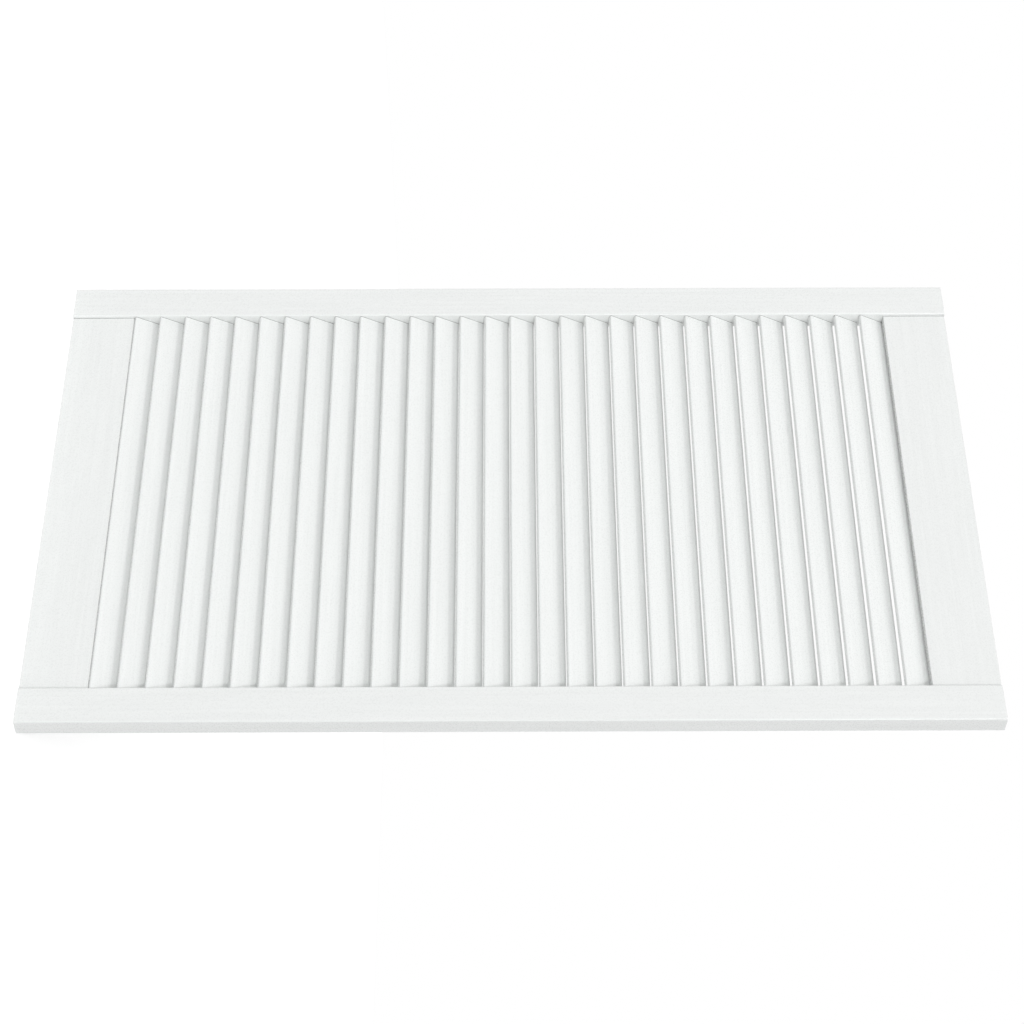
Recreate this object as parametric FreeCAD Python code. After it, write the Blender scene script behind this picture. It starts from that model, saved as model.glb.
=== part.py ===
"""Louvred cupboard door leaf in painted pine, modelled upright at its real size in millimetres.

Two full-height stiles carry everything. Two thinner rails are tenoned between them at the top and bottom,
and a stack of fixed slats fills the opening. Each slat end sits in a slanted housing routed into a stile.

Frame: X runs across the door from the hinge edge, Y runs from front to back with the middle of the
thickness at 0, and Z runs up from the bottom edge. The origin is on the hinge edge, at its foot.
"""

import FreeCAD
import Part

import math
import os

# Door leaf
DOOR_HEIGHT = 993.0
DOOR_WIDTH = 594.0

# Stiles: the upright members, with rounded long edges
STILE_WIDTH = 42.0
STILE_THICKNESS = 21.0
STILE_ARRIS_RADIUS = 1.7

# Rails: set back from both faces of the stiles
RAIL_WIDTH = 69.7
RAIL_THICKNESS = 13.0

# Round-ended stub tenons on the rails, and the mortises that take them
TENON_THICKNESS = 7.0
TENON_WIDTH = 46.0
TENON_LENGTH = 24.0
MORTISE_CLEARANCE = 0.1
MORTISE_END_GAP = 0.8

# Slats: thin boards with rounded long edges, low at the front and high at the back.
# The angle is measured from the upright, and the margin is what they stay behind the stile faces.
SLAT_THICKNESS = 5.2
SLAT_EDGE_RADIUS = 1.5
SLAT_ANGLE = 27.0
SLAT_FACE_MARGIN = 1.9
SLAT_TARGET_PITCH = 28.4
SLAT_END_CLEARANCE = 0.2

# Housings: the slanted pockets in the stiles that hold the slat ends. Their corners are cut straight across,
# just outside the slats' rounded edges.
HOUSING_DEPTH = 8.0
HOUSING_CLEARANCE = 0.15
HOUSING_END_GAP = 0.3

# Sizes that follow from the ones above
OPENING_WIDTH = DOOR_WIDTH - 2 * STILE_WIDTH
OPENING_HEIGHT = DOOR_HEIGHT - 2 * RAIL_WIDTH
SLAT_SINE = math.sin(math.radians(SLAT_ANGLE))
SLAT_COSINE = math.cos(math.radians(SLAT_ANGLE))
SLAT_FLAT_THICKNESS = SLAT_THICKNESS - 2 * SLAT_EDGE_RADIUS
SLAT_DEPTH = STILE_THICKNESS - 2 * SLAT_FACE_MARGIN
SLAT_FLAT_WIDTH = (SLAT_DEPTH - 2 * SLAT_EDGE_RADIUS - SLAT_FLAT_THICKNESS * SLAT_COSINE) / SLAT_SINE
SLAT_WIDTH = SLAT_FLAT_WIDTH + 2 * SLAT_EDGE_RADIUS
SLAT_RISE = SLAT_FLAT_WIDTH * SLAT_COSINE + SLAT_FLAT_THICKNESS * SLAT_SINE + 2 * SLAT_EDGE_RADIUS
SLAT_LENGTH = OPENING_WIDTH + 2 * (HOUSING_DEPTH - HOUSING_END_GAP)
SLAT_COUNT = max(2, round(OPENING_HEIGHT / SLAT_TARGET_PITCH))
FIRST_SLAT_Z = RAIL_WIDTH + SLAT_END_CLEARANCE + SLAT_RISE / 2
SLAT_PITCH = (OPENING_HEIGHT - SLAT_RISE - 2 * SLAT_END_CLEARANCE) / (SLAT_COUNT - 1)
HOUSING_CORNER_CUT = (SLAT_EDGE_RADIUS + HOUSING_CLEARANCE) * (2 - math.sqrt(2))

PARTS_FOLDER = "parts"
X_AXIS = FreeCAD.Vector(1, 0, 0)
Z_AXIS = FreeCAD.Vector(0, 0, 1)


def vector(x, y, z):
    return FreeCAD.Vector(x, y, z)


def edges_along(block, axis):
    """Edges of a block that run along an axis."""
    return [edge for edge in block.Edges if abs(edge.tangentAt(edge.FirstParameter).dot(axis)) > 0.5]


def slat_block(clearance, x_from, length):
    """Square-edged block with a slat's section, grown by a clearance and standing upright about the X axis."""
    thickness = SLAT_THICKNESS + 2 * clearance
    width = SLAT_WIDTH + 2 * clearance
    return Part.makeBox(length, thickness, width, vector(x_from, -thickness / 2, -width / 2))


def place_in_stack(bar, index):
    """Tilts a bar to the slats' angle and lifts it to its place in the stack."""
    bar.rotate(vector(0, 0, 0), X_AXIS, -SLAT_ANGLE)
    bar.translate(vector(0, 0, FIRST_SLAT_Z + index * SLAT_PITCH))
    return bar


def make_slat(index):
    """Slat with rounded long edges that reaches into both stiles' housings."""
    block = slat_block(0, STILE_WIDTH - HOUSING_DEPTH + HOUSING_END_GAP, SLAT_LENGTH)
    return place_in_stack(block.makeFillet(SLAT_EDGE_RADIUS, edges_along(block, X_AXIS)), index)


def housing_pocket(index, x_from, length):
    """Block that is cut from a stile to make the housing of a slat."""
    block = slat_block(HOUSING_CLEARANCE, x_from, length)
    return place_in_stack(block.makeChamfer(HOUSING_CORNER_CUT, edges_along(block, X_AXIS)), index)


def tenon_bar(rail_z, clearance, x_from, length):
    """Tenon along X in the middle of a rail whose lower edge is at rail_z, grown by a clearance.

    Its section is an upright slot shape: two straight sides with a half circle above and below.
    """
    radius = TENON_THICKNESS / 2 + clearance
    half_straight = (TENON_WIDTH - TENON_THICKNESS) / 2
    middle = rail_z + RAIL_WIDTH / 2
    low = middle - half_straight
    high = middle + half_straight

    def at(y, z):
        return vector(x_from, y, z)

    outline = [
        Part.LineSegment(at(radius, low), at(radius, high)),
        Part.Arc(at(radius, high), at(0, high + radius), at(-radius, high)),
        Part.LineSegment(at(-radius, high), at(-radius, low)),
        Part.Arc(at(-radius, low), at(0, low - radius), at(radius, low)),
    ]
    section = Part.Face(Part.Wire([curve.toShape() for curve in outline]))
    return section.extrude(vector(length, 0, 0))


def rail_levels():
    """Lower edges of the bottom and top rails."""
    return {"bottom_rail": 0.0, "top_rail": DOOR_HEIGHT - RAIL_WIDTH}


def make_stile(x_outer, inward):
    """Stile with rounded long edges, a housing for every slat and a mortise for each rail.

    x_outer is its outer edge, and inward is +1 or -1 for the side on which the opening lies.
    """
    x_inner = x_outer + inward * STILE_WIDTH
    x_low = min(x_outer, x_inner)
    corner = vector(x_low, -STILE_THICKNESS / 2, 0)
    block = Part.makeBox(STILE_WIDTH, STILE_THICKNESS, DOOR_HEIGHT, corner)
    stile = block.makeFillet(STILE_ARRIS_RADIUS, edges_along(block, Z_AXIS))

    def pocket_span(depth):
        """Start and length along X of a pocket of that depth, run out past the inner edge."""
        overrun = STILE_ARRIS_RADIUS
        bottom = x_inner - inward * depth
        mouth = x_inner + inward * overrun
        return min(bottom, mouth), depth + overrun

    housing_from, housing_length = pocket_span(HOUSING_DEPTH)
    mortise_from, mortise_length = pocket_span(TENON_LENGTH + MORTISE_END_GAP)
    pockets = [housing_pocket(index, housing_from, housing_length) for index in range(SLAT_COUNT)]
    pockets += [
        tenon_bar(rail_z, MORTISE_CLEARANCE, mortise_from, mortise_length)
        for rail_z in rail_levels().values()
    ]
    return stile.cut(pockets)


def make_rail(rail_z):
    """Rail between the stiles with a round-ended tenon on each end."""
    corner = vector(STILE_WIDTH, -RAIL_THICKNESS / 2, rail_z)
    board = Part.makeBox(OPENING_WIDTH, RAIL_THICKNESS, RAIL_WIDTH, corner)
    tenons = tenon_bar(rail_z, 0, STILE_WIDTH - TENON_LENGTH, OPENING_WIDTH + 2 * TENON_LENGTH)
    return board.fuse(tenons).removeSplitter()


def make_door():
    """All pieces of the leaf by name."""
    pieces = {
        "hinge_stile": make_stile(0.0, 1),
        "latch_stile": make_stile(DOOR_WIDTH, -1),
    }
    for name, rail_z in rail_levels().items():
        pieces[name] = make_rail(rail_z)
    for index in range(SLAT_COUNT):
        pieces[f"slat_{index + 1:02d}"] = make_slat(index)
    return pieces


def main():
    os.makedirs(PARTS_FOLDER, exist_ok=True)
    for name, shape in make_door().items():
        shape.exportStep(os.path.join(PARTS_FOLDER, name + ".step"))


main()
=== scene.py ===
"""Louvred cupboard door in satin white paint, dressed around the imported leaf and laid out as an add-on.

Every member of the door is a straight bar with a rounded rectangular section: the stiles stand upright, the
rails lie between them, and the slats lie tilted in the opening. Lengths are in metres, in the frame of the
packed leaf: X runs across from the hinge edge, Y from front to back, and Z up.
"""

import math

import bpy
import numpy as np
from bpy.props import FloatProperty, FloatVectorProperty, PointerProperty
from mathutils import Matrix, Vector


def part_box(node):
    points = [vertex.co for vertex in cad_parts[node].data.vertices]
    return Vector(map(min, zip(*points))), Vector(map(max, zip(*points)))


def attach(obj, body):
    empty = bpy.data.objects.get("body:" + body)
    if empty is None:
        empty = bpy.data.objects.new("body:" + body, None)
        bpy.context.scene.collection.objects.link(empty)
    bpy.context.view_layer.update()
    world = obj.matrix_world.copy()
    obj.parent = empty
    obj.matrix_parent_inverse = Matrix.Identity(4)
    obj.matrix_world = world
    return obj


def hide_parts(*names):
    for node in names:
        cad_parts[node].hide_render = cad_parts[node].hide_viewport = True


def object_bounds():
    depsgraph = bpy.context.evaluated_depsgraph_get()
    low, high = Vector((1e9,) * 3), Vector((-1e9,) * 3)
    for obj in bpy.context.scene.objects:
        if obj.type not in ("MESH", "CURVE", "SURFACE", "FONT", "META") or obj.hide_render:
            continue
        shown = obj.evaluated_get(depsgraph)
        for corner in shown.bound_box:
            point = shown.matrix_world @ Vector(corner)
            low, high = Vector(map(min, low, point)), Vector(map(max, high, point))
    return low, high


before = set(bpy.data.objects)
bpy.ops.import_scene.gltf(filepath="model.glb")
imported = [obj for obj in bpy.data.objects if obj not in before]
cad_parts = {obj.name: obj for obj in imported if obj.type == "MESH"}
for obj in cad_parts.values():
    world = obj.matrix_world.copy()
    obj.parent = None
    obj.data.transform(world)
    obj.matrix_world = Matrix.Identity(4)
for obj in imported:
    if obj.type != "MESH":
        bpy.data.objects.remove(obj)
CAD_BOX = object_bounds()

bl_info = {
    "name": "Louvred door",
    "version": (1, 0, 0),
    "blender": (4, 5, 0),
    "location": "View3D > Sidebar > Louvred door",
    "description": "Builds the painted stiles, rails and slats of a louvred cupboard door, and its studio",
    "category": "Object",
}

MM = 0.001
STILES = ("hinge_stile", "latch_stile")
RAILS = ("bottom_rail", "top_rail")
SLATS = tuple(sorted(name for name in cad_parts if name.startswith("slat_")))
STILE_LOW, STILE_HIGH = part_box("hinge_stile")
FACE_Y = STILE_LOW.y
OPENING_FROM = STILE_HIGH.x
OPENING_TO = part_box("latch_stile")[0].x

ACROSS = Vector((1, 0, 0))
BACKWARD = Vector((0, 1, 0))
UPWARD = Vector((0, 0, 1))


def linear(hex_colour):
    """Linear RGB of an sRGB hex colour."""
    channels = [int(hex_colour[i:i + 2], 16) / 255 for i in (1, 3, 5)]
    return tuple(c / 12.92 if c <= 0.04045 else ((c + 0.055) / 1.055) ** 2.4 for c in channels)


class LouvreSizes(bpy.types.PropertyGroup):
    """Sizes of the members' sections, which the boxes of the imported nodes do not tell."""

    stile_arris: FloatProperty(
        name="Stile arris radius", description="Rounding of the stiles' long edges",
        default=1.7 * MM, min=0, unit="LENGTH")
    rail_arris: FloatProperty(
        name="Rail arris radius", description="Easing of the rails' long edges",
        default=0.4 * MM, min=0, unit="LENGTH")
    end_ease: FloatProperty(
        name="End easing", description="Easing round the sawn ends of stiles",
        default=0.4 * MM, min=0, unit="LENGTH")
    slat_thickness: FloatProperty(
        name="Slat thickness", description="Thickness of a slat",
        default=5.2 * MM, min=0, unit="LENGTH")
    slat_edge: FloatProperty(
        name="Slat edge radius", description="Rounding of a slat's four long edges",
        default=1.5 * MM, min=0, unit="LENGTH")
    slat_tilt: FloatProperty(
        name="Slat tilt", description="Angle between a slat and the face of the door",
        default=math.radians(27), subtype="ANGLE", unit="ROTATION")


class LouvreFinish(bpy.types.PropertyGroup):
    """Colours and gloss of the paint."""

    paint: FloatVectorProperty(
        name="Paint", description="White of the paint", subtype="COLOR", size=3, min=0, max=1,
        default=linear("#e7e9e8"))
    paint_thin: FloatVectorProperty(
        name="Thin paint", description="White of the paint where the grain stands through it",
        subtype="COLOR", size=3, min=0, max=1, default=linear("#e2e4e3"))
    # Colour of the painted joint shadow: dark grey drawn on rails and slats next to the stiles, in place of
    # the shade in each joint's hairline gap
    painted_joint_shadow: FloatVectorProperty(
        name="Joint shade", description="Colour of the hairline where rails and slats meet the stiles",
        subtype="COLOR", size=3, min=0, max=1, default=linear("#5e605f"))
    gloss_low: FloatProperty(
        name="Roughness, low", description="Roughness of the smoothest paint",
        default=0.24, subtype="FACTOR")
    gloss_high: FloatProperty(
        name="Roughness, high", description="Roughness of the dullest paint",
        default=0.34, subtype="FACTOR")


class LouvreStage(bpy.types.PropertyGroup):
    """Camera, light and floor."""

    camera_place: FloatVectorProperty(
        name="Camera place", description="Where the camera stands", size=3, unit="LENGTH", subtype="XYZ",
        default=(1.9264, -2.0314, 0.4928))
    camera_aim: FloatVectorProperty(
        name="Camera aim", description="Point of the door's face at the centre of the picture", size=3,
        unit="LENGTH", subtype="XYZ", default=(0.3284, FACE_Y, 0.4989))
    lens: FloatProperty(
        name="Lens", description="Focal length on a sensor 36 mm wide", default=85.0, unit="CAMERA")
    ambient_front: FloatProperty(
        name="Ambient light in front", description="Strength of the even light from before the door",
        default=0.935, min=0)
    ambient_behind: FloatProperty(
        name="Ambient light behind", description="Strength of the even light from behind the door",
        default=1.115, min=0)
    key: FloatProperty(
        name="Key light", description="Strength of the soft light from above the front",
        default=0.52, min=0)
    key_from: FloatVectorProperty(
        name="Key direction", description="Direction in which the key light stands",
        size=3, subtype="XYZ", default=(0.37, -0.65, 0.67))
    fill: FloatProperty(
        name="Fill light", description="Strength of the soft light low in front",
        default=0.825, min=0)
    fill_from: FloatVectorProperty(
        name="Fill direction", description="Direction in which the fill light stands",
        size=3, subtype="XYZ", default=(0.72, -0.69, 0.2))
    lamp_spread: FloatProperty(
        name="Lamp spread", description="Angle over which the key and the fill light are each spread",
        default=math.radians(8), subtype="ANGLE", unit="ROTATION")
    floor_reach: FloatProperty(
        name="Floor reach", description="Distance from the door to the edge of the floor",
        default=6.0, min=0, unit="LENGTH")
    floor_colour: FloatVectorProperty(
        name="Floor", description="Colour of the floor", subtype="COLOR", size=3, min=0, max=1,
        default=linear("#e3e3e3"))
    floor_lift: FloatProperty(
        name="Floor lift", description="Brightness added to make the floor white to the camera",
        default=0.47, min=0)


# Flat steps in each rounded corner of a section, and in the easing of a bar's end
ARC_STEPS = 8
EASE_STEPS = 4


def section_ring(half_width, half_thickness, radius):
    """Rounded rectangle as points and outward normals, both (n, 2), counter-clockwise.

    Each corner is an arc: corner centre + radius * (cos t, sin t), with t over a quarter turn. The straight
    sides are the chords from one arc's end to the start of the next.
    """
    quarter = np.linspace(0, math.pi / 2, ARC_STEPS + 1)
    turn = (quarter[None, :] + np.arange(4)[:, None] * math.pi / 2).ravel()
    normals = np.stack([np.cos(turn), np.sin(turn)], axis=1)
    signs = np.repeat([[1, 1], [-1, 1], [-1, -1], [1, -1]], ARC_STEPS + 1, axis=0)
    centres = signs * [half_width - radius, half_thickness - radius]
    return centres + radius * normals, normals


def bar_surface(half_width, half_thickness, half_length, radius, ease):
    """Bar as points and outward normals, both (stations, n, 3), along its own width, thickness and length.

    The rounded rectangle is carried along a straight path. Near each end it shrinks along a quarter circle:
    at angle t it stands ease * (1 - cos t) from the end and is inset by ease * (1 - sin t), and its normal
    turns from the bar's length (t = 0) to the section's own normal (t = a quarter turn).
    """
    t = np.linspace(0, math.pi / 2, EASE_STEPS + 1)
    away = half_length - ease * (1 - np.cos(t))
    inset = ease * (1 - np.sin(t))
    outward = np.cos(t)
    station = np.concatenate([-away, away[::-1]])
    inset = np.concatenate([inset, inset[::-1]])
    lengthways = np.concatenate([-outward, outward[::-1]])
    ring, normal = section_ring(half_width, half_thickness, radius)
    flat = np.sqrt(1 - lengthways ** 2)
    points = np.empty((len(station), len(ring), 3))
    points[:, :, :2] = ring[None] - inset[:, None, None] * normal[None]
    points[:, :, 2] = station[:, None]
    normals = np.empty_like(points)
    normals[:, :, :2] = flat[:, None, None] * normal[None]
    normals[:, :, 2] = lengthways[:, None]
    return points, normals


def bar_mesh(name, centre, axes, surface):
    """Closed mesh of a bar surface, with its width, thickness and length along the axes about a centre."""
    points, normals = surface
    turn = np.array([tuple(axis) for axis in axes])
    vertices = (points.reshape(-1, 3) @ turn + np.array(tuple(centre))).astype(np.float32)
    stations, around = points.shape[:2]
    row = np.arange(stations - 1)[:, None] * around
    here = np.arange(around)[None, :]
    after = np.roll(here, -1, axis=1)
    next_row = row + around
    quads = np.stack([row + here, row + after, next_row + after, next_row + here], axis=-1).reshape(-1, 4)
    first_end = np.arange(around)[::-1]
    last_end = (stations - 1) * around + np.arange(around)
    corners = np.concatenate([quads.ravel(), first_end, last_end]).astype(np.int32)
    sizes = np.concatenate([np.full(len(quads), 4), [around, around]])
    starts = np.concatenate([[0], np.cumsum(sizes)[:-1]]).astype(np.int32)

    mesh = bpy.data.meshes.new(name)
    mesh.vertices.add(len(vertices))
    mesh.vertices.foreach_set("co", vertices.ravel())
    mesh.loops.add(len(corners))
    mesh.loops.foreach_set("vertex_index", corners)
    mesh.polygons.add(len(sizes))
    mesh.polygons.foreach_set("loop_start", starts)
    mesh.update(calc_edges=True)
    mesh.validate()
    mesh.shade_smooth()
    mesh.normals_split_custom_set_from_vertices((normals.reshape(-1, 3) @ turn).astype(np.float32))
    return mesh


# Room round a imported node's box, whose rounded edges are cut into flat facets
NODE_ROOM = 0.2 * MM


def add_member(node, mesh, material):
    """Puts a member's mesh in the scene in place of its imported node, if it fits the box of that node."""
    points = np.empty((len(mesh.vertices), 3), np.float32)
    mesh.vertices.foreach_get("co", points.ravel())
    low, high = (np.array(tuple(corner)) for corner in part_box(node))
    if (points < low - NODE_ROOM).any() or (points > high + NODE_ROOM).any():
        raise RuntimeError(f"the sizes set for {node} do not fit its packed node")
    mesh.materials.append(material)
    piece = bpy.data.objects.new("painted_" + node, mesh)
    bpy.context.scene.collection.objects.link(piece)
    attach(piece, "root")
    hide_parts(node)


def middle_and_half(node):
    """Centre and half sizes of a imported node's box."""
    low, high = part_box(node)
    return (low + high) / 2, (high - low) / 2


def add_node(tree, kind, inputs=None, **settings):
    """Adds a shader node with its settings, and sets or links its inputs."""
    node = tree.nodes.new(kind)
    for name, value in settings.items():
        setattr(node, name, value)
    for name, value in (inputs or {}).items():
        if isinstance(value, bpy.types.NodeSocket):
            tree.links.new(value, node.inputs[name])
        else:
            node.inputs[name].default_value = value
    return node


def new_tree(owner):
    """Empty node tree of a material or world."""
    owner.use_nodes = True
    owner.node_tree.nodes.clear()
    return owner.node_tree


# Grain of the pine under the paint: size, height, fineness and waviness of its ridges
GRAIN_WIDTH = 3.5 * MM
GRAIN_LENGTH = 160 * MM
GRAIN_RELIEF = 0.08 * MM
GRAIN_DETAIL = 4.0
GRAIN_ROUGHNESS = 0.6
GRAIN_WAVER = 0.4

# Stipple of the sprayed coat
STIPPLE_SIZE = 1.4 * MM
STIPPLE_RELIEF = 0.02 * MM
STIPPLE_DETAIL = 2.0
STIPPLE_ROUGHNESS = 0.5

# Levels of the grain between which the paint thins, and of the stipple between which it dulls
THIN_FROM = 0.35
THIN_TO = 0.75
DULL_FROM = 0.3
DULL_TO = 0.7
PAINT_IOR = 1.5

# Width of the painted shadow at a joint, drawn wider than the imported clearance of 0.15 mm so that it
# shows at a distance
JOINT_SHADOW_WIDTH = 0.55 * MM


def add_painted_joint_shadow(tree, place, colour):
    """Node of a colour that turns dark just before each stile: a painted shadow standing in for the shade
    in the hairline gap of each joint.
    """
    shade = bpy.context.scene.louvre_finish.painted_joint_shadow
    half_opening = (OPENING_TO - OPENING_FROM) / 2
    across = add_node(tree, "ShaderNodeSeparateXYZ", {"Vector": place})
    from_middle = add_node(tree, "ShaderNodeMath", {
        0: across.outputs["X"], 1: (OPENING_FROM + OPENING_TO) / 2}, operation="SUBTRACT")
    distance = add_node(tree, "ShaderNodeMath", {0: from_middle.outputs["Value"]}, operation="ABSOLUTE")
    joint_shadow_mask = add_node(tree, "ShaderNodeMapRange", {
        "Value": distance.outputs["Value"],
        "From Min": half_opening - JOINT_SHADOW_WIDTH, "From Max": half_opening - JOINT_SHADOW_WIDTH / 2})
    return add_node(tree, "ShaderNodeMix", {
        "Factor": joint_shadow_mask.outputs["Result"], "A": colour.outputs["Result"], "B": (*shade, 1)},
        data_type="RGBA")


def painted_pine(name, grain_along, jointed=False):
    """Satin white paint, sprayed on planed pine: an even, slightly cool white with a soft sheen.

    The grain stands through the paint as long faint ridges, and the sprayed coat has a fine stipple that
    breaks up the sheen. A jointed member ends at each stile in a dark hairline of painted shadow, which
    stands in for the shade in the gap of the joint.
    """
    finish = bpy.context.scene.louvre_finish
    material = bpy.data.materials.new(name)
    tree = new_tree(material)
    place = add_node(tree, "ShaderNodeTexCoord").outputs["Object"]
    pitch = [1 / (GRAIN_LENGTH if along else GRAIN_WIDTH) for along in grain_along]
    stretched = add_node(tree, "ShaderNodeMapping", {"Vector": place, "Scale": pitch})
    grain = add_node(tree, "ShaderNodeTexNoise", {
        "Vector": stretched.outputs["Vector"], "Scale": 1.0, "Detail": GRAIN_DETAIL,
        "Roughness": GRAIN_ROUGHNESS, "Distortion": GRAIN_WAVER})
    stipple = add_node(tree, "ShaderNodeTexNoise", {
        "Vector": place, "Scale": 1 / STIPPLE_SIZE, "Detail": STIPPLE_DETAIL,
        "Roughness": STIPPLE_ROUGHNESS})
    thin = add_node(tree, "ShaderNodeMapRange", {
        "Value": grain.outputs["Fac"], "From Min": THIN_FROM, "From Max": THIN_TO})
    colour = add_node(tree, "ShaderNodeMix", {
        "Factor": thin.outputs["Result"], "A": (*finish.paint, 1), "B": (*finish.paint_thin, 1)},
        data_type="RGBA")
    # Painted shadow at the joints with the stiles, drawn into the colour
    if jointed:
        colour = add_painted_joint_shadow(tree, place, colour)
    dull = add_node(tree, "ShaderNodeMapRange", {
        "Value": stipple.outputs["Fac"], "From Min": DULL_FROM, "From Max": DULL_TO,
        "To Min": finish.gloss_low, "To Max": finish.gloss_high})
    ridges = add_node(tree, "ShaderNodeBump", {
        "Height": grain.outputs["Fac"], "Strength": 1.0, "Distance": GRAIN_RELIEF})
    relief = add_node(tree, "ShaderNodeBump", {
        "Height": stipple.outputs["Fac"], "Strength": 1.0, "Distance": STIPPLE_RELIEF,
        "Normal": ridges.outputs["Normal"]})
    coat = add_node(tree, "ShaderNodeBsdfPrincipled", {
        "Base Color": colour.outputs["Result"], "Roughness": dull.outputs["Result"], "IOR": PAINT_IOR,
        "Normal": relief.outputs["Normal"]})
    add_node(tree, "ShaderNodeOutputMaterial", {"Surface": coat.outputs["BSDF"]})
    return material


class LOUVRE_OT_stiles(bpy.types.Operator):
    """Build the two upright stiles with rounded long edges"""

    bl_idname = "louvre.stiles"
    bl_label = "Stiles"

    def execute(self, context):
        sizes = context.scene.louvre_sizes
        paint = painted_pine("satin white paint on pine, grain upright", (False, False, True))
        for node in STILES:
            centre, half = middle_and_half(node)
            surface = bar_surface(half.x, half.y, half.z, sizes.stile_arris, sizes.end_ease)
            mesh = bar_mesh(node, centre, (ACROSS, BACKWARD, UPWARD), surface)
            add_member(node, mesh, paint)
        return {"FINISHED"}


class LOUVRE_OT_rails(bpy.types.Operator):
    """Build the two rails that lie between the stiles"""

    bl_idname = "louvre.rails"
    bl_label = "Rails"

    def execute(self, context):
        sizes = context.scene.louvre_sizes
        # The rails' paint carries painted shadows at their joints with the stiles
        paint = painted_pine(
            "satin white paint on pine, grain across", (True, False, False), jointed=True)
        reach = OPENING_TO - OPENING_FROM
        for node in RAILS:
            centre, half = middle_and_half(node)
            surface = bar_surface(half.y, half.z, reach / 2, sizes.rail_arris, 0)
            mesh = bar_mesh(node, centre, (BACKWARD, UPWARD, ACROSS), surface)
            add_member(node, mesh, paint)
        return {"FINISHED"}


def slat_half_width(half_depth, sizes):
    """Half the width w of a slat, of thickness t and edge radius r, that fills its node's depth at tilt a.

    Its depth is (w - 2 r) sin a + (t - 2 r) cos a + 2 r.
    """
    radius = sizes.slat_edge
    half_flat_thickness = sizes.slat_thickness / 2 - radius
    half_flat_depth = half_depth - radius - half_flat_thickness * math.cos(sizes.slat_tilt)
    return half_flat_depth / math.sin(sizes.slat_tilt) + radius


class LOUVRE_OT_slats(bpy.types.Operator):
    """Build the fixed slats, low at the front and high at the back"""

    bl_idname = "louvre.slats"
    bl_label = "Slats"

    def execute(self, context):
        sizes = context.scene.louvre_sizes
        # The slats' paint carries painted shadows at their joints with the stiles
        paint = painted_pine(
            "satin white paint on pine slats, grain across", (True, False, False), jointed=True)
        turn = Matrix.Rotation(-sizes.slat_tilt, 3, ACROSS)
        rising = turn @ UPWARD
        upper_face = turn @ -BACKWARD
        for node in SLATS:
            centre, half = middle_and_half(node)
            surface = bar_surface(
                slat_half_width(half.y, sizes), sizes.slat_thickness / 2, half.x, sizes.slat_edge, 0)
            mesh = bar_mesh(node, centre, (rising, upper_face, ACROSS), surface)
            add_member(node, mesh, paint)
        return {"FINISHED"}


class LOUVRE_OT_studio(bpy.types.Operator):
    """Set up the camera, the white floor and the soft light"""

    bl_idname = "louvre.studio"
    bl_label = "Studio"

    def execute(self, context):
        stage = context.scene.louvre_stage
        add_camera(context.scene, stage)
        add_floor(context.scene, stage)
        add_lamp(context.scene, "key", stage.key, stage.key_from, stage.lamp_spread)
        add_lamp(context.scene, "fill", stage.fill, stage.fill_from, stage.lamp_spread)
        light_world(context.scene, stage)
        context.scene.view_settings.view_transform = "Standard"
        return {"FINISHED"}


def add_camera(scene, stage):
    """Camera before and beside the door, turned to show its front face up and its top end to the right."""
    data = bpy.data.cameras.new("camera")
    data.lens = stage.lens
    camera = bpy.data.objects.new("camera", data)
    place = Vector(stage.camera_place)
    forward = (Vector(stage.camera_aim) - place).normalized()
    right = forward.cross(-BACKWARD).normalized()
    up = right.cross(forward)
    camera.matrix_world = Matrix.Translation(place) @ Matrix((right, up, -forward)).transposed().to_4x4()
    scene.collection.objects.link(camera)
    scene.camera = camera


def seen_directly(tree):
    """Socket that is 1 on rays that bring the background to the camera, straight or by gloss or glass."""
    path = add_node(tree, "ShaderNodeLightPath")
    mirrored = add_node(tree, "ShaderNodeMath", {
        0: path.outputs["Is Glossy Ray"], 1: path.outputs["Is Transmission Ray"]}, operation="MAXIMUM")
    seen = add_node(tree, "ShaderNodeMath", {
        0: path.outputs["Is Camera Ray"], 1: mirrored.outputs["Value"]}, operation="MAXIMUM")
    return seen.outputs["Value"]


def add_floor(scene, stage):
    """Plain pale floor: one flat square at the level of the door's foot."""
    reach = stage.floor_reach
    middle = (CAD_BOX[0] + CAD_BOX[1]) / 2
    corners = np.array([(-1, -1), (1, -1), (1, 1), (-1, 1)]) * reach + (middle.x, middle.y)
    vertices = np.column_stack([corners, np.full(4, CAD_BOX[0].z)])
    mesh = bpy.data.meshes.new("floor")
    mesh.from_pydata(vertices.tolist(), [], [(0, 1, 2, 3)])
    floor = bpy.data.objects.new("floor", mesh)
    scene.collection.objects.link(floor)
    material = bpy.data.materials.new("matt white studio floor")
    tree = new_tree(material)
    paper = add_node(tree, "ShaderNodeBsdfDiffuse", {"Color": (*stage.floor_colour, 1)})
    strength = add_node(tree, "ShaderNodeMath", {
        0: seen_directly(tree), 1: stage.floor_lift}, operation="MULTIPLY")
    lift = add_node(tree, "ShaderNodeEmission", {"Strength": strength.outputs["Value"]})
    both = add_node(tree, "ShaderNodeAddShader", {0: paper.outputs["BSDF"], 1: lift.outputs["Emission"]})
    add_node(tree, "ShaderNodeOutputMaterial", {"Surface": both.outputs["Shader"]})
    mesh.materials.append(material)


def add_lamp(scene, name, strength, direction, spread):
    """Soft distant lamp that stands in a direction and is spread over an angle."""
    data = bpy.data.lights.new(name, "SUN")
    data.energy = strength
    data.angle = spread
    lamp = bpy.data.objects.new(name, data)
    lamp.rotation_mode = "QUATERNION"
    lamp.rotation_quaternion = Vector(direction).to_track_quat("Z", "Y")
    scene.collection.objects.link(lamp)


# The studio is dark in a ring of directions in the plane of the door and behind it: over it, beside it and
# under it. The ring starts and ends where the backward part of the direction has these values, with a soft
# edge.
DARK_FROM = -0.07
DARK_TO = 0.45
DARK_EDGE = 0.05


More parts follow.
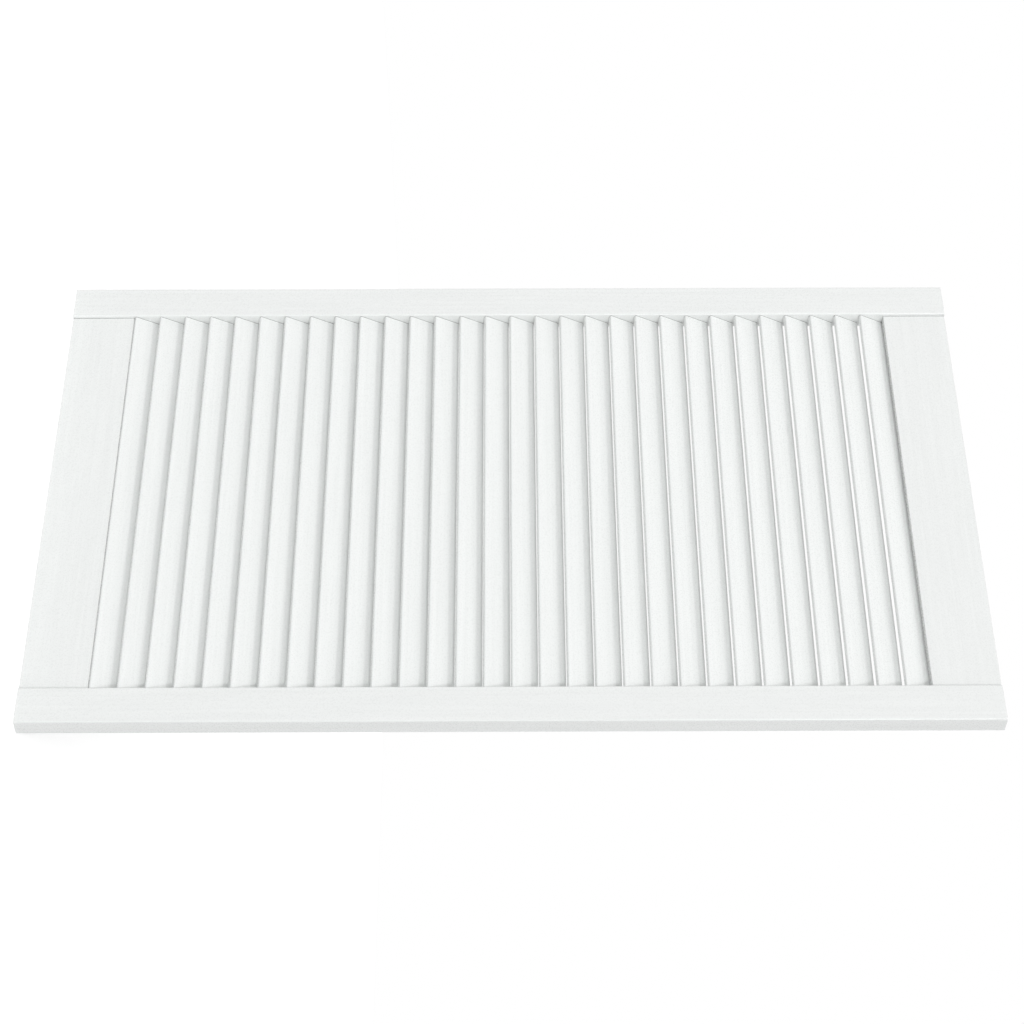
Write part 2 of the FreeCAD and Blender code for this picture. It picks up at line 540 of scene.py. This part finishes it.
def light_world(scene, stage):
    """Even light from before and behind the door, none from the ring between, and white to the camera."""
    world = bpy.data.worlds.new("studio")
    scene.world = world
    tree = new_tree(world)
    direction = add_node(tree, "ShaderNodeSeparateXYZ", {
        "Vector": add_node(tree, "ShaderNodeTexCoord").outputs["Generated"]})
    front = add_node(tree, "ShaderNodeMapRange", {
        "Value": direction.outputs["Y"],
        "From Min": DARK_FROM - DARK_EDGE, "From Max": DARK_FROM + DARK_EDGE,
        "To Min": stage.ambient_front, "To Max": 0.0})
    behind = add_node(tree, "ShaderNodeMapRange", {
        "Value": direction.outputs["Y"],
        "From Min": DARK_TO - DARK_EDGE, "From Max": DARK_TO + DARK_EDGE,
        "To Min": 0.0, "To Max": stage.ambient_behind})
    level = add_node(tree, "ShaderNodeMath", {
        0: front.outputs["Result"], 1: behind.outputs["Result"]}, operation="ADD")
    around = add_node(tree, "ShaderNodeBackground", {
        "Color": (1, 1, 1, 1), "Strength": level.outputs["Value"]})
    white = add_node(tree, "ShaderNodeBackground", {"Color": (1, 1, 1, 1), "Strength": 1.0})
    both = add_node(tree, "ShaderNodeMixShader", {
        0: seen_directly(tree), 1: around.outputs["Background"], 2: white.outputs["Background"]})
    add_node(tree, "ShaderNodeOutputWorld", {"Surface": both.outputs["Shader"]})


STEPS = (LOUVRE_OT_studio, LOUVRE_OT_stiles, LOUVRE_OT_rails, LOUVRE_OT_slats)
GROUPS = {"louvre_sizes": LouvreSizes, "louvre_finish": LouvreFinish, "louvre_stage": LouvreStage}


class LOUVRE_PT_door(bpy.types.Panel):
    """Lists the steps that build the door, and the sizes, colours and light that they use"""

    bl_idname = "LOUVRE_PT_door"
    bl_label = "Louvred door"
    bl_space_type = "VIEW_3D"
    bl_region_type = "UI"
    bl_category = "Louvred door"

    def draw(self, context):
        for step in STEPS:
            self.layout.operator(step.bl_idname)
        for group in GROUPS:
            values = getattr(context.scene, group)
            for name in values.__annotations__:
                self.layout.prop(values, name)


CLASSES = (*GROUPS.values(), *STEPS, LOUVRE_PT_door)


def register():
    for cls in CLASSES:
        bpy.utils.register_class(cls)
    for name, cls in GROUPS.items():
        setattr(bpy.types.Scene, name, PointerProperty(type=cls))


def unregister():
    for name in GROUPS:
        delattr(bpy.types.Scene, name)
    for cls in reversed(CLASSES):
        bpy.utils.unregister_class(cls)


def main():
    register()
    bpy.ops.louvre.studio()
    bpy.ops.louvre.stiles()
    bpy.ops.louvre.rails()
    bpy.ops.louvre.slats()


if __name__ == "__main__":
    main()
